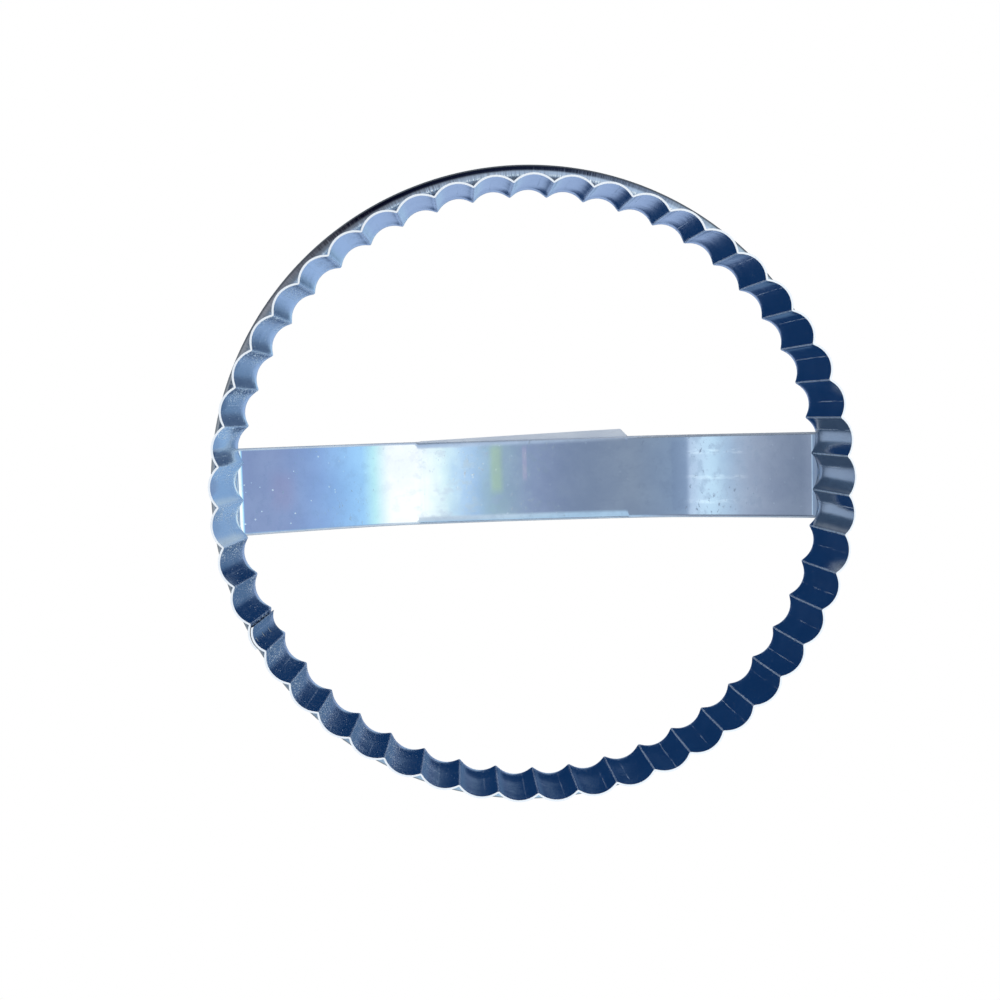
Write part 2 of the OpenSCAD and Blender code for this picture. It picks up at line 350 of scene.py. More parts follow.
def strap_steel(name, metallic, dull):
    """The strap's rolled steel; places are in millimetres along it, and dull is added to its roughness."""
    material, tree = new_material(name)
    m = Maths(tree)
    place = position_mm(tree, m)
    x, y, z = m.split(place)
    rolled = m.join(m.mul(x, 0.03), m.mul(y, 3.0), m.mul(z, 0.2))
    grain = m.noise(rolled, 1.0, 5.0, 0.6)
    patches = m.noise(place, 0.09, 4.0, 0.55)
    smears = m.band(m.noise(m.join(m.mul(x, 0.22), m.mul(y, 0.3), z), 1.0, 4.0, 0.6), 0.5, 0.66)
    left_end = m.sub(1.0, m.band(x, -66.0, -44.0))
    specks = m.mul(m.spots(m.scaled(place, (0.42, 0.42, 0.42)), 0.11), m.add(0.15, m.mul(left_end, 0.85)))
    scratch_field = m.noise(m.join(m.mul(x, 0.9), m.mul(y, 0.45), z), 1.3, 5.0, 0.7)
    scratches = m.mul(m.band(scratch_field, 0.6, 0.66), m.band(m.noise(place, 0.08, 2.0, 0.5), 0.5, 0.62))

    # Painted highlight streaks past the right shoulder, and a band of painted shade in front of them
    inner_y = m.sub(y, HANDLE_OFFSET)
    streaks = m.noise(m.join(m.mul(x, 0.1), y, z), 1.0, 2.0, 0.5)
    # Near-white streaks in three rows along the strap: painted highlights
    painted_glint_streaks = 0.0
    for row in (-6.6, 0.3, 6.9):
        line = m.sub(1.0, m.band(m.do("ABSOLUTE", m.sub(inner_y, row)), 0.25, 0.9))
        painted_glint_streaks = m.add(painted_glint_streaks, line)
    painted_glint_streaks = m.mul(painted_glint_streaks, m.mul(m.window(x, 44.0, 58.0, 2.0), m.band(streaks, 0.36, 0.64)))
    # A darker blue band across the strap: painted shade
    painted_shade_band = m.mul(m.window(x, 39.8, 44.6, 0.4), m.window(inner_y, -9.6, 9.4, 0.6))

    # A greenish and a pinkish streak across the middle, which are painted reflections, and a warm patch at
    # the left
    painted_green_reflection = m.mul(m.window(x, -9.6, -6.6, 1.0), m.window(y, -10.5, 2.0, 1.5))
    painted_pink_reflection = m.mul(m.window(x, -0.9, 0.3, 0.3), m.window(y, -10.0, -1.0, 1.0))
    warm = m.mul(m.window(x, -67.0, -62.0, 2.0), m.window(y, -5.0, 4.0, 2.5))

    base = m.mix(m.band(patches, 0.35, 0.68), (0.60, 0.655, 0.745), (0.68, 0.73, 0.80))
    base = m.tinted(base, (smears, 0.35, (0.52, 0.57, 0.66)), (painted_shade_band, 0.3, (0.5, 0.55, 0.68)),
                    (painted_glint_streaks, 0.5, (0.98, 0.99, 1.0)), (painted_green_reflection, 0.5, (0.80, 0.86, 0.50)),
                    (painted_pink_reflection, 0.5, (1.0, 0.80, 0.88)), (warm, 0.3, (0.85, 0.62, 0.66)),
                    (scratches, 0.4, (0.34, 0.37, 0.43)), (specks, 0.9, (0.97, 0.98, 1.0)))
    rim_zone = m.band(m.do("ABSOLUTE", inner_y), 10.5, 11.2)
    rough = m.total(0.04 + dull, (patches, 0.02), (rim_zone, 0.25), (grain, 0.02), (smears, 0.04),
                    (scratches, 0.15), (specks, 0.4))
    metal = m.mul(m.sub(1.0, m.mul(rim_zone, 0.5)), metallic)
    height = m.total(0.0, (grain, 0.08), (m.noise(place, 0.12, 2.0, 0.5), 0.35), (scratches, -0.04),
                     (specks, 0.3))
    finish_steel(tree, base, rough, height, metallic=metal, bump_mm=0.03, anisotropic=0.2)
    return material


def weld_steel():
    material, tree = new_material("weld_steel")
    m = Maths(tree)
    place = position_mm(tree, m)
    skin = m.noise(place, 1.4, 4.0, 0.6)
    base = m.mix(skin, (0.36, 0.37, 0.40), (0.58, 0.57, 0.56))
    finish_steel(tree, base, m.add(0.32, m.mul(skin, 0.2)), skin, bump_mm=0.03)
    return material


BAND_STEEL = band_steel()
EDGE_STEEL_AND_GLINT = edge_steel_and_glint()
STRAP_STEEL = strap_steel("strap_steel", 1.0, 0.0)
FLANGE_STEEL = strap_steel("flange_steel", 0.15, 0.3)
WELD_STEEL = weld_steel()


# Meshes

def mesh_from(vertices, faces, name):
    mesh = bpy.data.meshes.new(name)
    mesh.from_pydata([tuple(v) for v in vertices], [], faces)
    mesh.update()
    return mesh


def new_object(name, mesh):
    obj = bpy.data.objects.new(name, mesh)
    bpy.context.scene.collection.objects.link(obj)
    return obj


def close_up(mesh, merge=TOUCH):
    """Merges doubles and turns the faces outwards; stops if the mesh isn't closed."""
    bm = bmesh.new()
    bm.from_mesh(mesh)
    bmesh.ops.remove_doubles(bm, verts=bm.verts, dist=merge)
    bmesh.ops.dissolve_degenerate(bm, edges=bm.edges, dist=merge / 4)
    bmesh.ops.recalc_face_normals(bm, faces=bm.faces)
    open_edges = sum(1 for e in bm.edges if len(e.link_faces) != 2)
    if bm.calc_volume(signed=True) < 0:
        bmesh.ops.reverse_faces(bm, faces=bm.faces)
    bm.to_mesh(mesh)
    bm.free()
    if open_edges:
        raise RuntimeError(f"{mesh.name} has {open_edges} open edges")


def shade(mesh, angle):
    for polygon in mesh.polygons:
        polygon.use_smooth = True
    mesh.set_sharp_from_angle(angle=math.radians(angle))


# Fluted band

def rim_profile(r_in, r_out):
    """Closed section of wall, rim and rolled bead at one direction, as (radius, height) points.

    Also returns how many of the first points go up the inner face, and how many of the last come
    down the outer face."""
    bend_in = BEND_R - SHEET
    top = RING_H - BEND_R
    bevel = CUT_BEVEL
    up = [(r_in + bevel, 0.0), (r_in, bevel), (r_in, 4 * bevel)]
    up += [(r_in, bevel + (top - bevel) * i / 8) for i in range(1, 9)]
    points = list(up)
    for i in range(1, 5):
        a = 22.5 * i
        points.append((r_in + BEND_R - BEND_R * cosd(a), top + BEND_R * sind(a)))
    start = r_in + BEND_R
    for i in range(1, 4):
        points.append((start + (BEAD_AXIS_R - start) * i / 3, RING_H))
    sweep = 360 - ROLL_OPEN
    outer_steps, inner_steps = 24, 16
    for i in range(1, outer_steps + 1):
        a = 90 - sweep * i / outer_steps
        points.append((BEAD_AXIS_R + BEAD_R * cosd(a), BEAD_AXIS_Z + BEAD_R * sind(a)))
    inner = BEAD_R - SHEET
    for i in range(inner_steps, -1, -1):
        a = 90 - sweep * i / inner_steps
        points.append((BEAD_AXIS_R + inner * cosd(a), BEAD_AXIS_Z + inner * sind(a)))
    stop = r_out + bend_in
    for i in range(1, 3):
        points.append((BEAD_AXIS_R + (stop - BEAD_AXIS_R) * i / 3, RING_H - SHEET))
    for i in range(3, -1, -1):
        a = 30 * i
        points.append((stop - bend_in * cosd(a), top + bend_in * sind(a)))
    down = [(r_out, top + (bevel - top) * i / 5) for i in range(5)] + [(r_out, 4 * bevel), (r_out, bevel)]
    down.append((r_out - bevel, 0.0))
    return points[:-1] + down, len(up), len(down)


def arc_radius(half, arch):
    return (half * half + arch * arch) / (2 * arch)


FLUTE_ARCH = CREST_R - CUSP_R * cosd(PITCH / 2)
FLUTE_R = arc_radius(CUSP_R * sind(PITCH / 2), FLUTE_ARCH)
FLUTE_AXIS_R = CREST_R - FLUTE_R


def flute_reach(phi, arc_r):
    """Distance from the ring's axis to a flute's arc, phi away from the flute's middle."""
    side = FLUTE_AXIS_R * sind(phi)
    return FLUTE_AXIS_R * cosd(phi) + math.sqrt(arc_r * arc_r - side * side)


def soft_ridge(r):
    """Rounds the inner face off where it comes near the ridges' radius."""
    gap = r - RIDGE_R
    return RIDGE_R + (gap + math.sqrt(gap * gap + RIDGE_SOFT ** 2)) / 2


def column(angle, r_in, r_out):
    points, _, _ = rim_profile(r_in, r_out)
    return [Vector((r * cosd(angle), r * sind(angle), z)) / 1000 for r, z in points]


def flute_column(angle, phi):
    return column(angle, soft_ridge(flute_reach(phi, FLUTE_R - SHEET)), flute_reach(phi, FLUTE_R))


def strip_faces(columns, size):
    """Quads between neighbouring closed sections of the same size."""
    faces = []
    for i in range(columns - 1):
        a, b = i * size, (i + 1) * size
        for k in range(size):
            n = (k + 1) % size
            faces.append((a + k, b + k, b + n, a + n))
    return faces


def flute_strip(steps=14):
    """One regular flute about the X axis, open at its two cusps, with its columns closer there."""
    columns = []
    crowding = 1.35
    for i in range(steps + 1):
        u = 2 * i / steps - 1
        phi = PITCH / 2 * math.sin(u * crowding) / math.sin(crowding)
        columns.append(flute_column(phi, phi))
    vertices = [v for c in columns for v in c]
    return mesh_from(vertices, strip_faces(len(columns), len(columns[0])), "flute")


def worn_shape(point):
    """Moves a point of the even, round ring to its place on the worn one."""
    angle = math.degrees(math.atan2(point.y, point.x))
    radius = math.hypot(point.x, point.y)
    fade = max(0.0, 1 - point.z * 1000 / OVAL_H)
    twist = math.radians(DRIFT_MEAN + DRIFT * cosd(angle - DRIFT_WAY))
    twist -= OUT_OF_ROUND / 2 * fade * sind(2 * (angle - LONG_AXIS))
    near = math.exp(-((angle - DENT_WAY) / DENT_SPAN) ** 2)
    dent = DENT * near * fade * max(radius * 1000 - CUSP_R, 0.0) / (radius * 1000)
    grow = OUT_OF_ROUND * cosd(2 * (angle - LONG_AXIS)) * fade - dent - twist * twist / 2
    return Vector((point.x * (1 + grow) - point.y * twist, point.y * (1 + grow) + point.x * twist, point.z))


def ring_of_flutes_tree(material):
    """Geometry Nodes: turns one flute round the ring, joins the cusps and gives the ring its worn shape."""
    tree = bpy.data.node_groups.new("ring_of_flutes", "GeometryNodeTree")
    face = tree.interface
    face.new_socket("Flute", in_out="INPUT", socket_type="NodeSocketGeometry")
    for name, kind in (("Flutes", "NodeSocketInt"), ("First flute", "NodeSocketFloat"),
                       ("Pitch", "NodeSocketFloat"), ("Out of round", "NodeSocketFloat"),
                       ("Long axis", "NodeSocketFloat"), ("Oval height", "NodeSocketFloat"),
                       ("Drift mean", "NodeSocketFloat"), ("Drift", "NodeSocketFloat"),
                       ("Drift way", "NodeSocketFloat"), ("Dent", "NodeSocketFloat"),
                       ("Dent way", "NodeSocketFloat"), ("Dent span", "NodeSocketFloat"),
                       ("Cusp radius", "NodeSocketFloat")):
        face.new_socket(name, in_out="INPUT", socket_type=kind)
    face.new_socket("Ring", in_out="OUTPUT", socket_type="NodeSocketGeometry")
    given = add_node(tree, "NodeGroupInput").outputs
    m = Maths(tree)
    places = add_node(tree, "GeometryNodeMeshLine", {"Count": given["Flutes"], "Offset": (0.0, 0.0, 0.0)})
    index = add_node(tree, "GeometryNodeInputIndex").outputs[0]
    turn = m.add(given["First flute"], m.mul(index, given["Pitch"]))
    turned = add_node(tree, "FunctionNodeAxisAngleToRotation", {"Axis": (0.0, 0.0, 1.0), "Angle": turn})
    copies = add_node(tree, "GeometryNodeInstanceOnPoints", {
        "Points": places.outputs[0], "Instance": given["Flute"], "Rotation": turned.outputs[0]})
    real = add_node(tree, "GeometryNodeRealizeInstances", {0: copies.outputs[0]})
    joined = add_node(tree, "GeometryNodeMergeByDistance", {"Geometry": real.outputs[0], "Distance": TOUCH})
    x, y, z = m.split(add_node(tree, "GeometryNodeInputPosition").outputs[0])
    angle = m.do("ARCTAN2", y, x)
    radius = m.length(x, y)
    fade = m.do("MAXIMUM", m.sub(1.0, m.div(z, given["Oval height"])), 0.0)
    double = m.mul(m.sub(angle, given["Long axis"]), 2.0)
    oval = m.mul(given["Out of round"], fade)
    twist = m.mul(given["Drift"], m.do("COSINE", m.sub(angle, given["Drift way"])))
    twist = m.add(twist, given["Drift mean"])
    twist = m.sub(twist, m.mul(m.mul(oval, 0.5), m.do("SINE", double)))
    off = m.div(m.sub(angle, given["Dent way"]), given["Dent span"])
    near = m.do("EXPONENT", m.mul(m.mul(off, off), -1.0))
    over = m.div(m.do("MAXIMUM", m.sub(radius, given["Cusp radius"]), 0.0), radius)
    dent = m.mul(m.mul(m.mul(given["Dent"], near), fade), over)
    grow = m.sub(m.sub(m.mul(oval, m.do("COSINE", double)), dent), m.mul(m.mul(twist, twist), 0.5))
    shift = m.join(m.sub(m.mul(x, grow), m.mul(y, twist)), m.add(m.mul(y, grow), m.mul(x, twist)), 0.0)
    shaped = add_node(tree, "GeometryNodeSetPosition", {"Geometry": joined.outputs[0], "Offset": shift})
    steel = add_node(tree, "GeometryNodeSetMaterial", {"Geometry": shaped.outputs[0], "Material": material})
    out = add_node(tree, "NodeGroupOutput")
    tree.links.new(steel.outputs[0], out.inputs[0])
    return tree


def run_tree(obj, tree, values):
    """Runs a tree on an object with these named inputs and leaves the result as its plain mesh."""
    modifier = obj.modifiers.new("build", "NODES")
    modifier.node_group = tree
    sockets = {s.name: s.identifier for s in tree.interface.items_tree
               if s.item_type == "SOCKET" and s.in_out == "INPUT"}
    for name, value in values.items():
        modifier[sockets[name]] = value
    graph = bpy.context.evaluated_depsgraph_get()
    graph.update()
    mesh = bpy.data.meshes.new_from_object(obj.evaluated_get(graph))
    obj.modifiers.clear()
    obj.data = mesh
    return mesh


def lap_circle():
    """Axis and radius of the inner layer's outer face in the lapped flute."""
    offset = SHEET + LAP_GAP
    half = CUSP_R * sind(SEAM_SPAN / 2)
    radius = arc_radius(half, SEAM_ARCH)
    step = offset / math.cos(math.asin(half / radius))
    a, b = polar(CUSP_R, SEAM_STOP), polar(CUSP_R - step, SEAM_START)
    mid, half = (a + b) / 2, (b - a).length / 2
    out = Vector((b.y - a.y, a.x - b.x)) / (b - a).length
    axis = mid + out * (SEAM_ARCH - arc_radius(half, SEAM_ARCH))
    return axis, (a - axis).length


LAP_AXIS, LAP_R = lap_circle()


def lap_reach(angle, offset):
    """Distance from the ring's axis to the lapped flute's arc at this offset."""
    way = polar(1, angle)
    along = LAP_AXIS.dot(way)
    r = LAP_R + offset
    return along + math.sqrt(r * r - (LAP_AXIS.length_squared - along * along))


def seam_mesh():
    """The lapped flute: an outer layer with its rim, and an inner layer with its stub of rim, each closed
    at its end."""
    vertices, faces = [], []
    slit = math.degrees(SLIT / CREST_R)
    outer_stop = SEAM_STOP + OUTER_END
    inner_start = SEAM_START - INNER_END
    cusp = PITCH / 2

    def put(columns):
        base = len(vertices)
        size = len(columns[0])
        for c in columns:
            vertices.extend(worn_shape(v) for v in c)
        faces.extend(tuple(base + k for k in f) for f in strip_faces(len(columns), size))
        return base, size

    steps = 12
    columns = []
    for i in range(steps):
        angle = outer_stop + (SEAM_START - outer_stop) * i / steps
        r_in = max(lap_reach(angle, LAP_GAP), RIDGE_R)
        columns.append(column(angle, r_in, lap_reach(angle, LAP_GAP + SHEET)))
    columns.append(flute_column(SEAM_START, -cusp))
    base, size = put(columns)
    faces.append(tuple(base + k for k in range(size)))

    _, up_count, down_count = rim_profile(CREST_R - SHEET, CREST_R)
    columns = [flute_column(SEAM_STOP, cusp)]
    steps = 3
    last = outer_stop - slit
    for i in range(1, steps + 1):
        angle = SEAM_STOP + (last - SEAM_STOP) * i / steps
        columns.append(column(angle, lap_reach(angle, -SHEET), lap_reach(angle, 0.0)))
    base, size = put(columns)
    end = base + steps * size
    rim = list(range(up_count - 1, size - down_count + 1))
    faces.append(tuple(end + k for k in rim))
    wall = list(range(up_count)) + list(range(size - down_count, size))
    columns = []
    steps = 9
    for i in range(steps + 1):
        angle = last + (inner_start - last) * i / steps
        full = column(angle, lap_reach(angle, -SHEET), lap_reach(angle, 0.0))
        columns.append([full[k] for k in wall])
    base, size = put(columns)
    faces.append(tuple(base + steps * size + k for k in range(size)))
    return mesh_from(vertices, faces, "seam")


def fluted_band():
    ring = new_object("band_shell", flute_strip())
    tree = ring_of_flutes_tree(BAND_STEEL)
    run_tree(ring, tree, {
        "Flutes": FLUTES, "First flute": math.radians(SEAM_START + PITCH / 2),
        "Pitch": math.radians(PITCH), "Out of round": OUT_OF_ROUND, "Long axis": math.radians(LONG_AXIS),
        "Oval height": OVAL_H / 1000, "Drift mean": math.radians(DRIFT_MEAN),
        "Drift": math.radians(DRIFT), "Drift way": math.radians(DRIFT_WAY), "Dent": DENT,
        "Dent way": math.radians(DENT_WAY), "Dent span": math.radians(DENT_SPAN),
        "Cusp radius": CUSP_R / 1000})
    bm = bmesh.new()
    bm.from_mesh(ring.data)
    bm.from_mesh(seam_mesh())
    bm.to_mesh(ring.data)
    bm.free()
    close_up(ring.data, merge=10 * TOUCH)
    ring.data.materials.clear()
    ring.data.materials.append(BAND_STEEL)
    ring.data.materials.append(EDGE_STEEL_AND_GLINT)
    for polygon in ring.data.polygons:
        if polygon.center.z * 1000 < CUT_FACE_H:
            polygon.material_index = 1
    shade(ring.data, 40)
    return ring


# Handle strap

def strap_path():
    """Half of the strap's side view, from the middle to the foot's end.

    Each station is (x, z, slope): a point of the underside and the way it falls there."""
    under_r = FOOT_BEND_R + STRAP_T
    crown_tan = math.tan(math.radians(CROWN_ANGLE) / 2)
    mean = (RAMP_TOP_ANGLE + RAMP_FOOT_ANGLE) / 2
    bends_x = SHOULDER_R * (sind(RAMP_TOP_ANGLE) - sind(CROWN_ANGLE)) + under_r * sind(RAMP_FOOT_ANGLE)
    bends_z = SHOULDER_R * (cosd(CROWN_ANGLE) - cosd(RAMP_TOP_ANGLE)) + under_r * (1 - cosd(RAMP_FOOT_ANGLE))
    drop = HANDLE_RISE - bends_z - (FOOT_START - bends_x) * crown_tan
    chord = drop / (sind(mean) - crown_tan * cosd(mean))
    ramp_r = chord / 2 / sind((RAMP_FOOT_ANGLE - RAMP_TOP_ANGLE) / 2)
    crown_half = FOOT_START - bends_x - chord * cosd(mean)
    crown_r = crown_half / sind(CROWN_ANGLE)
    crown_z = RING_H + HANDLE_RISE - crown_r
    stations = []

    def arc(axis_x, axis_z, radius, start, stop, steps):
        for i in range(1, steps + 1):
            a = start + (stop - start) * i / steps
            stations.append((axis_x + radius * sind(a), axis_z + radius * cosd(a), a))

    def inner_axis(axis_x, axis_z, radius, next_radius, a):
        return axis_x + (radius - next_radius) * sind(a), axis_z + (radius - next_radius) * cosd(a)

    stations.append((0.0, crown_z + crown_r, 0.0))
    arc(0.0, crown_z, crown_r, 0.0, CROWN_ANGLE, 24)
    shoulder = inner_axis(0.0, crown_z, crown_r, SHOULDER_R, CROWN_ANGLE)
    arc(*shoulder, SHOULDER_R, CROWN_ANGLE, RAMP_TOP_ANGLE, 16)
    ramp = inner_axis(*shoulder, SHOULDER_R, ramp_r, RAMP_TOP_ANGLE)
    arc(*ramp, ramp_r, RAMP_TOP_ANGLE, RAMP_FOOT_ANGLE, 12)
    for i in range(1, 9):
        a = RAMP_FOOT_ANGLE * (1 - i / 8)
        stations.append((FOOT_START - under_r * sind(a), RING_H + under_r * (1 - cosd(a)), a))
    corner = FOOT_END - FOOT_CORNER_R
    stations.append((FOOT_START + (corner - FOOT_START) / 2, RING_H, 0.0))
    for i in range(10):
        stations.append((corner + FOOT_CORNER_R * sind(10 * i), RING_H, 0.0))
    return stations


def half_width(x):
    past = abs(x) - (FOOT_END - FOOT_CORNER_R)
    if past <= 0:
        return STRAP_W / 2
    return STRAP_W / 2 - FOOT_CORNER_R + math.sqrt(max(FOOT_CORNER_R ** 2 - past * past, 0.0))


def moved(point, way, length):
    return point[0] + way[0] * length, point[1] + way[1] * length


def edge_outline(tall, lean):
    """Section of one edge of the strap as (across, up) pairs from the edge line of the underside.

    With no flange it is the sheared edge, rolled over a little; with one, a bend and a plate of that lean."""
    bevel = STRAP_BEVEL
    if tall <= 0:
        outside = [(-1.5, 0), (-0.95, 0), (-0.55, 0.01), (-0.25, 0.05), (-0.07, 0.14), (0, 0.3)]
        inside = [(0, STRAP_T - bevel), (-bevel, STRAP_T), (-0.4, STRAP_T), (-0.75, STRAP_T),
                  (-1.1, STRAP_T), (-1.5, STRAP_T)]
        return outside + inside
    turn = 90 - lean
    inner_r = FLANGE_BEND_R - STRAP_T
    reach = FLANGE_BEND_R * math.tan(math.radians(turn) / 2)
    start = -reach
    points = []
    for i in range(5):
        a = turn * i / 4
        points.append((start + FLANGE_BEND_R * sind(a), FLANGE_BEND_R * (1 - cosd(a))))
    way = (cosd(turn), sind(turn))
    inward = (-sind(turn), cosd(turn))
    tip = moved(points[-1], way, max(tall - reach, 0.3))
    points.append(moved(tip, way, -bevel))
    points.append(moved(tip, inward, bevel))
    points.append(moved(tip, inward, STRAP_T - bevel))
    points.append(moved(moved(tip, inward, STRAP_T), way, -bevel))
    for i in (4, 2, 0):
        a = turn * i / 4
        points.append((start + inner_r * sind(a), FLANGE_BEND_R - inner_r * cosd(a)))
    return points


def flange_at(x):
    """Height share and place along the flanges: (share of height, 0 to 1 along)."""
    run = x - FLANGE_X + FLANGE_L / 2
    if run < 0 or run > FLANGE_L:
        return 0.0, 0.0
    rise = min(run, FLANGE_L - run) / MITRE_L
    low = STRAP_T / FLANGE_H
    return min(1.0, low + (1 - low) * rise), run / FLANGE_L


def strap_section(x, z, slope, side):
    """Closed section of the strap at one station; side is -1 on the left half."""
    half = half_width(x)
    share, along = flange_at(side * x)
    near = edge_outline(share * FLANGE_H, LEAN_START + (LEAN_END - LEAN_START) * along)
    far = edge_outline(share * FLANGE_H, LEAN_FAR)
    squeeze = min(1.0, half / (STRAP_W / 2))
    count = len(near) // 2
    pairs = []
    for y, up in near[:count][::-1]:
        pairs.append((-half - y * squeeze, up))
    flat = 10
    left, right = pairs[-1][0], half + far[0][0] * squeeze
    pairs += [(left + (right - left) * i / flat, 0.0) for i in range(1, flat)]
    for y, up in far:
        pairs.append((half + y * squeeze, up))
    left, right = -half - near[-1][0] * squeeze, pairs[-1][0]
    pairs += [(right + (left - right) * i / flat, STRAP_T) for i in range(1, flat)]
    for y, up in near[count:][::-1]:
        pairs.append((-half - y * squeeze, up))
    normal = (sind(slope), cosd(slope))
    out = []
    for y, up in pairs:
        out.append(Vector((side * (x + normal[0] * up), y + HANDLE_OFFSET, z + normal[1] * up)) / 1000)
    return out


def handle_strap():
    stations = strap_path()
    # Extra stations where the flanges begin and end
    marks = set()
    for end in (FLANGE_X + FLANGE_L / 2, FLANGE_L / 2 - FLANGE_X):
        for shift in (-MITRE_L, -MITRE_L / 2, -0.6, -0.02, 0.25):
            marks.add(abs(end + shift))
    full = []
    for (x0, z0, a0), (x1, z1, a1) in zip(stations, stations[1:]):
        full.append((x0, z0, a0))
        for mark in sorted(marks):
            if x0 + 0.05 < mark < x1 - 0.05:
                t = (mark - x0) / (x1 - x0)
                full.append((mark, z0 + (z1 - z0) * t, a0 + (a1 - a0) * t))
    full.append(stations[-1])
    sections = [strap_section(x, z, a, -1) for x, z, a in reversed(full[1:])]
    sections += [strap_section(x, z, a, 1) for x, z, a in full]
    size = len(sections[0])
    vertices = [v for s in sections for v in s]
    faces = strip_faces(len(sections), size)
    faces.append(tuple(range(size)))
    last = (len(sections) - 1) * size
    faces.append(tuple(last + k for k in range(size)))
    mesh = mesh_from(vertices, faces, "strap")
    close_up(mesh)
    mesh.materials.append(STRAP_STEEL)
    mesh.materials.append(FLANGE_STEEL)
    for polygon in mesh.polygons:
        faces_near_side = polygon.normal.y < -0.6
        if faces_near_side and abs(polygon.center.x * 1000 - FLANGE_X) < FLANGE_L / 2:
            polygon.material_index = 1
    shade(mesh, 35)
    return new_object("strap_shell", mesh)


# Spot welds

def weld_rows_tree(material):
    """Geometry Nodes: repeats one weld along two steps."""
    tree = bpy.data.node_groups.new("weld_rows", "GeometryNodeTree")
    face = tree.interface
    face.new_socket("Weld", in_out="INPUT", socket_type="NodeSocketGeometry")
    for name, kind in (("Count A", "NodeSocketInt"), ("Step A", "NodeSocketVector"),
                       ("Count B", "NodeSocketInt"), ("Step B", "NodeSocketVector")):
        face.new_socket(name, in_out="INPUT", socket_type=kind)
    face.new_socket("Welds", in_out="OUTPUT", socket_type="NodeSocketGeometry")
    given = add_node(tree, "NodeGroupInput").outputs
    line_a = add_node(tree, "GeometryNodeMeshLine", {"Count": given["Count A"], "Offset": given["Step A"]})
    line_b = add_node(tree, "GeometryNodeMeshLine", {"Count": given["Count B"], "Offset": given["Step B"]})
    rows = add_node(tree, "GeometryNodeInstanceOnPoints", {
        "Points": line_a.outputs[0], "Instance": line_b.outputs[0]})
    spots = add_node(tree, "GeometryNodeRealizeInstances", {0: rows.outputs[0]})
    copies = add_node(tree, "GeometryNodeInstanceOnPoints", {
        "Points": spots.outputs[0], "Instance": given["Weld"]})
    real = add_node(tree, "GeometryNodeRealizeInstances", {0: copies.outputs[0]})
    steel = add_node(tree, "GeometryNodeSetMaterial", {"Geometry": real.outputs[0], "Material": material})
    out = add_node(tree, "NodeGroupOutput")
    tree.links.new(steel.outputs[0], out.inputs[0])
    return tree


def weld_mesh(radius, length, place, turn, name):
    """A weld through two sheets: a dished face with a low rim at each end, on its own axis."""
    profile = [(0.0, -0.05), (radius * 0.45, -0.045), (radius * 0.72, -0.01), (radius * 0.9, 0.035),
               (radius, 0.02), (radius * 1.04, -0.05)]
    rings = [(r, length / 2 + h) for r, h in profile] + [(r, -length / 2 - h) for r, h in profile[::-1]]
    steps = 28
    vertices, faces = [], []
    for r, h in rings:
        for i in range(steps):
            a = 360 * i / steps
            vertices.append(Vector((r * cosd(a), r * sind(a), h)))
    for k in range(len(rings) - 1):
        for i in range(steps):
            n = (i + 1) % steps
            faces.append((k * steps + i, k * steps + n, (k + 1) * steps + n, (k + 1) * steps + i))
    matrix = Matrix.Translation(Vector(place)) @ turn
    return mesh_from([(matrix @ v) / 1000 for v in vertices], faces, name)


def spot_welds():
    tree = weld_rows_tree(WELD_STEEL)
    foot_x = (FOOT_START + BEAD_AXIS_R) / 2
    middle = RING_H - SHEET + (SHEET + STRAP_T) / 2
    place = (-foot_x, HANDLE_OFFSET - FOOT_WELD_PITCH / 2, middle)
    weld = weld_mesh(FOOT_WELD_R, SHEET + STRAP_T, place, Matrix.Identity(4), "foot_weld")
    feet = new_object("foot_welds", weld)
    run_tree(feet, tree, {"Count A": 2, "Step A": (2 * foot_x / 1000, 0.0, 0.0),
                          "Count B": 2, "Step B": (0.0, FOOT_WELD_PITCH / 1000, 0.0)})
    pitch = (RING_H - 2 * BEAD_R) / SEAM_WELDS
    reach = (lap_reach(SEAM_ANGLE, -SHEET) + lap_reach(SEAM_ANGLE, LAP_GAP + SHEET)) / 2
    length = lap_reach(SEAM_ANGLE, LAP_GAP + SHEET) - lap_reach(SEAM_ANGLE, -SHEET)
    turn = Matrix.Rotation(math.radians(SEAM_ANGLE), 4, "Z") @ Matrix.Rotation(math.radians(90), 4, "Y")
    low = worn_shape(Vector((*polar(reach, SEAM_ANGLE), pitch / 2)) / 1000)
    high = worn_shape(Vector((*polar(reach, SEAM_ANGLE), pitch * 1.5)) / 1000)
    seam = new_object("seam_welds", weld_mesh(SEAM_WELD_R, length, low * 1000, turn, "seam_weld"))
    run_tree(seam, tree, {"Count A": SEAM_WELDS, "Step A": tuple(high - low),
                          "Count B": 1, "Step B": (0.0, 0.0, 0.0)})
    for obj in (feet, seam):
        close_up(obj.data)
        shade(obj.data, 50)
    return feet, seam


band = fluted_band()
strap = handle_strap()
foot_welds, seam_welds = spot_welds()
for piece, node, finish in ((band, "fluted_band", "band_steel"), (strap, "handle_strap", "strap_steel"),
                            (foot_welds, "handle_spot_welds", "weld_steel"),
                            (seam_welds, "seam_spot_welds", "weld_steel")):
    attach(piece, "root")
    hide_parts(node)


# Floor, surroundings, light and camera

def emission_output(tree, colour, strength=1.0):
    glow = add_node(tree, "ShaderNodeEmission", {"Color": colour, "Strength": strength})
    out = add_node(tree, "ShaderNodeOutputMaterial")
    tree.links.new(glow.outputs[0], out.inputs[0])


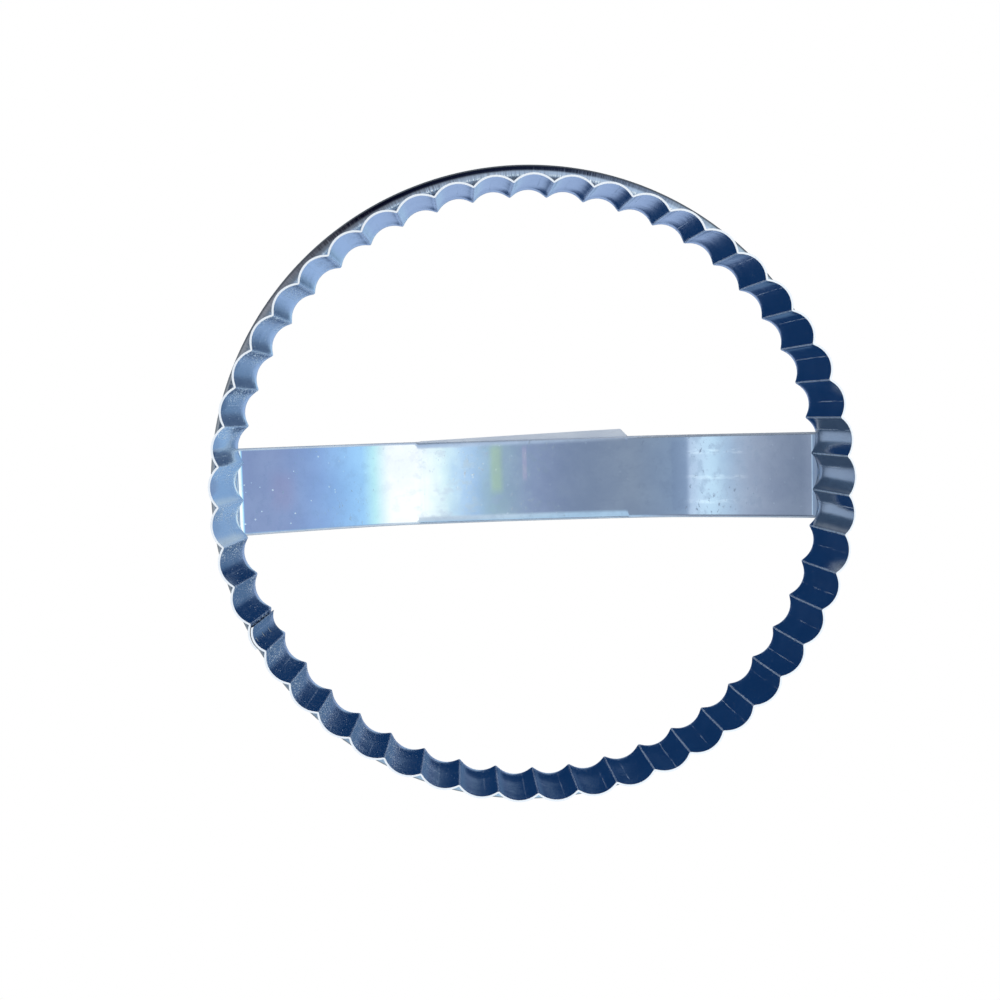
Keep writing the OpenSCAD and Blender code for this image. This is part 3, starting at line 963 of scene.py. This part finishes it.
def pale_floor():
    """A pale floor that the camera sees from above only, so that it also sees up through the ring."""
    size, drop = 4.0, 0.0003
    corners = [(-size, -size), (size, -size), (size, size), (-size, size)]
    mesh = mesh_from([(x, y, -drop) for x, y in corners], [(0, 1, 2, 3)], "floor")
    material, tree = new_material("floor_paper")
    paper = add_node(tree, "ShaderNodeBsdfDiffuse", {"Color": (0.86, 0.87, 0.88, 1.0)})
    clear = add_node(tree, "ShaderNodeBsdfTransparent")
    side = add_node(tree, "ShaderNodeNewGeometry")
    mixed = add_node(tree, "ShaderNodeMixShader", {0: side.outputs["Backfacing"], 1: paper.outputs[0],
                                                    2: clear.outputs[0]})
    out = add_node(tree, "ShaderNodeOutputMaterial")
    tree.links.new(mixed.outputs[0], out.inputs[0])
    mesh.materials.append(material)
    floor = new_object("floor", mesh)
    floor.visible_glossy = False
    floor.visible_diffuse = False
    floor.visible_shadow = False


def tent_stops(low, high, stops):
    """Colour ramp stops from (degrees, colour) pairs on a ramp that runs from low to high."""
    return [((degrees - low) / (high - low), colour) for degrees, colour in stops]


def studio_tent():
    """What the bright steel mirrors: cloths of blue, grey and white round the ring, hidden from the camera.

    Directions are in degrees: around the ring's axis, and up from straight below."""
    tent_r = 6.0
    bm = bmesh.new()
    bmesh.ops.create_uvsphere(bm, u_segments=96, v_segments=48, radius=tent_r)
    mesh = bpy.data.meshes.new("tent")
    bm.to_mesh(mesh)
    bm.free()
    material, tree = new_material("tent_cloth")
    m = Maths(tree)
    coords = add_node(tree, "ShaderNodeTexCoord").outputs["Object"]
    way = add_node(tree, "ShaderNodeVectorMath", {0: coords}, operation="NORMALIZE").outputs[0]
    x, y, z = m.split(way)
    around = m.mul(m.do("ARCTAN2", y, x), DEGREES)
    around_left = m.do("WRAP", around, 360.0, 0.0)
    share = m.div(m.add(around, 180.0), 360.0)
    from_below = m.mul(m.do("ARCCOSINE", m.mul(z, -1.0)), DEGREES)

    # Overhead: navy cloth with a round window a little off the ring's axis, and a paler wing on one side
    off_x, off_y = m.mul(x, DEGREES), m.mul(y, DEGREES)
    off = m.length(off_x, off_y)
    off_disc = m.length(m.sub(off_x, 3.3), m.sub(off_y, 2.6))
    disc = m.sub(1.0, m.band(off_disc, 8.4, 10.2))
    daylight = m.mix(m.band(off_y, -5.0, 1.0), (0.46, 0.66, 0.90), (0.38, 0.51, 0.78))
    wing = m.mul(m.band(around, -18.0, 10.0), m.sub(1.0, m.band(around, 65.0, 74.0)))
    wing = m.mul(wing, m.band(off, 12.5, 16.5))
    overhead = m.mix(wing, (0.006, 0.036, 0.118), (0.10, 0.19, 0.34))
    overhead = m.mix(disc, overhead, daylight)

    # Cloths round the ring, the way they follow each other at a steep and at a level view
    steep = m.ramp(share, tent_stops(-180, 180, [
        (-180, (0.2, 0.2, 0.24)), (-155, (0.25, 0.3, 0.35)), (-118, (0.18, 0.19, 0.22)),
        (-80, (0.56, 0.66, 0.8)), (-50, (0.67, 0.82, 1.0)), (0, (0.95, 1.0, 1.0)), (60, (0.85, 0.95, 1.0)),
        (85, (0.6, 0.83, 1.0)), (120, (0.55, 0.73, 0.93)), (142, (0.28, 0.33, 0.42)),
        (160, (0.2, 0.2, 0.25)), (180, (0.2, 0.2, 0.24))]))
    level = m.ramp(share, tent_stops(-180, 180, [
        (-180, (0.42, 0.44, 0.46)), (-158, (0.44, 0.45, 0.47)), (-140, (0.28, 0.28, 0.31)),
        (-122, (0.0, 0.0, 0.01)), (-78, (0.01, 0.015, 0.04)), (-60, (0.3, 0.36, 0.47)),
        (-40, (0.62, 0.76, 0.84)), (0, (0.95, 1.0, 1.0)), (60, (0.8, 0.9, 0.95)), (80, (0.6, 0.83, 1.0)),
        (120, (0.4, 0.55, 0.7)), (140, (0.22, 0.27, 0.34)), (180, (0.42, 0.44, 0.46))]))
    colour = m.mix(m.band(from_below, 32.0, 62.0), steep, level)
    colour = m.mix(m.band(from_below, 106.0, 120.0), colour, (0.3, 0.33, 0.34))
    dusk = m.mul(m.band(from_below, 88.0, 112.0), m.window(around, -160.0, 30.0, 15.0))
    colour = m.mix(m.mul(dusk, 0.55), colour, (0.0, 0.0, 0.01))

    # A slate cloth with a narrow gleam that the flutes at the right foot mirror, and a card of sky for
    # those at the left foot
    slate = m.mul(m.window(around_left, 142.0, 203.0, 5.0), m.window(from_below, 36.0, 84.0, 4.0))
    gleam = m.mul(m.window(around_left, 167.0, 184.0, 3.0), m.window(from_below, 71.0, 81.0, 2.5))
    sky_card = m.mul(m.window(around, -13.0, 30.0, 4.0), m.window(from_below, 20.0, 78.0, 4.0))
    for card, shade_of_card in ((slate, (0.07, 0.11, 0.17)), (gleam, (0.55, 0.64, 0.76)),
                                (sky_card, (0.42, 0.62, 0.88))):
        colour = m.mix(card, colour, shade_of_card)

    # The row of cloths and white cards that the handle strap mirrors, by its tilt along the strap
    tilt = m.mul(m.do("ARCTAN2", x, m.mul(z, -1.0)), DEGREES)
    cards = m.ramp(m.div(m.add(tilt, 50.0), 100.0), tent_stops(-50, 50, [
        (-50, (0.19, 0.23, 0.30)), (-35.5, (0.19, 0.23, 0.30)), (-33.4, (0.28, 0.32, 0.40)),
        (-32.4, (0.37, 0.42, 0.5)), (-31.2, (0.38, 0.5, 0.62)), (-30.2, (0.60, 0.80, 0.88)),
        (-29.2, (0.50, 0.60, 0.72)), (-27.5, (0.25, 0.33, 0.44)), (-22, (0.21, 0.28, 0.38)),
        (-1, (0.22, 0.27, 0.34)), (1.4, (0.19, 0.24, 0.33)), (3, (0.25, 0.30, 0.43)),
        (4, (0.26, 0.35, 0.44)), (4.6, (0.37, 0.51, 0.47)), (5.2, (0.32, 0.47, 0.68)),
        (5.9, (0.42, 0.59, 0.80)), (6.5, (0.72, 0.93, 0.82)), (7.2, (1.0, 1.0, 0.95)),
        (22, (1.0, 1.0, 0.95)), (29.5, (0.54, 0.84, 0.82)), (35.9, (0.33, 0.57, 0.82)),
        (38, (0.25, 0.38, 0.62)), (40.5, (0.25, 0.31, 0.48)), (50, (0.22, 0.30, 0.43))]))
    bright_cards = m.scaled(cards, (1.5, 1.5, 1.5))
    in_strip = m.mul(m.window(y, -0.1, 0.18, 0.04), m.sub(1.0, m.band(z, -0.64, -0.55)))
    colour = m.mix(in_strip, colour, bright_cards)

    colour = m.mix(m.band(z, cosd(42), cosd(28)), colour, overhead)
    emission_output(tree, colour)
    mesh.materials.append(material)
    tent = new_object("tent", mesh)
    tent.visible_camera = False
    tent.visible_shadow = False
    tent.visible_diffuse = False


def white_world():
    world = bpy.data.worlds.new("white")
    bpy.context.scene.world = world
    world.use_nodes = True
    tree = world.node_tree
    tree.nodes.clear()
    m = Maths(tree)
    path = add_node(tree, "ShaderNodeLightPath").outputs
    seen = m.do("MAXIMUM", m.do("MAXIMUM", path["Is Camera Ray"], path["Is Glossy Ray"]),
                path["Is Transmission Ray"])
    colour = m.mix(seen, (0.9, 0.93, 0.97), (1.0, 1.0, 1.0))
    glow = add_node(tree, "ShaderNodeBackground", {"Color": colour, "Strength": 1.0})
    out = add_node(tree, "ShaderNodeOutputWorld")
    tree.links.new(glow.outputs[0], out.inputs[0])


def soft_lamp(name, place, aim, size, watts):
    light = bpy.data.lights.new(name, "AREA")
    light.shape = "DISK"
    light.size = size
    light.energy = watts
    lamp = bpy.data.objects.new(name, light)
    bpy.context.scene.collection.objects.link(lamp)
    lamp.location = place
    lamp.visible_glossy = False
    lamp.rotation_euler = (Vector(aim) - Vector(place)).to_track_quat("-Z", "Y").to_euler()


def photo_camera():
    """Looks up through the ring from the cutting side, a little off its axis.

    away is the ring's centre as the camera sees it: to the right, down and forward in millimetres."""
    sensor_mm, focal_share = 36.0, 1.133
    tilt, swing, roll = (math.radians(a) for a in (4.14077, -1.979, -1.62))
    turn = Matrix.Rotation(tilt, 3, "X") @ Matrix.Rotation(swing, 3, "Y") @ Matrix.Rotation(roll, 3, "Z")
    away = Vector((8.69722, -1.49488, 268.9884)) / 1000
    back = turn.transposed()
    data = bpy.data.cameras.new("photo_camera")
    data.sensor_width = sensor_mm
    data.lens = focal_share * sensor_mm
    data.clip_start = 0.01
    camera = bpy.data.objects.new("photo_camera", data)
    bpy.context.scene.collection.objects.link(camera)
    axes = Matrix([back @ Vector(way) for way in ((1, 0, 0), (0, -1, 0), (0, 0, -1))]).transposed()
    camera.matrix_world = Matrix.Translation(-(back @ away)) @ axes.to_4x4()
    bpy.context.scene.camera = camera


pale_floor()
studio_tent()
white_world()
soft_lamp("key_lamp", (-0.7, -0.9, 0.9), (0, 0, 0.02), 0.7, 3)
soft_lamp("fill_lamp", (0.9, 0.4, 0.8), (0, 0, 0.02), 0.8, 1.5)
photo_camera()
bpy.context.scene.view_settings.view_transform = "Standard"
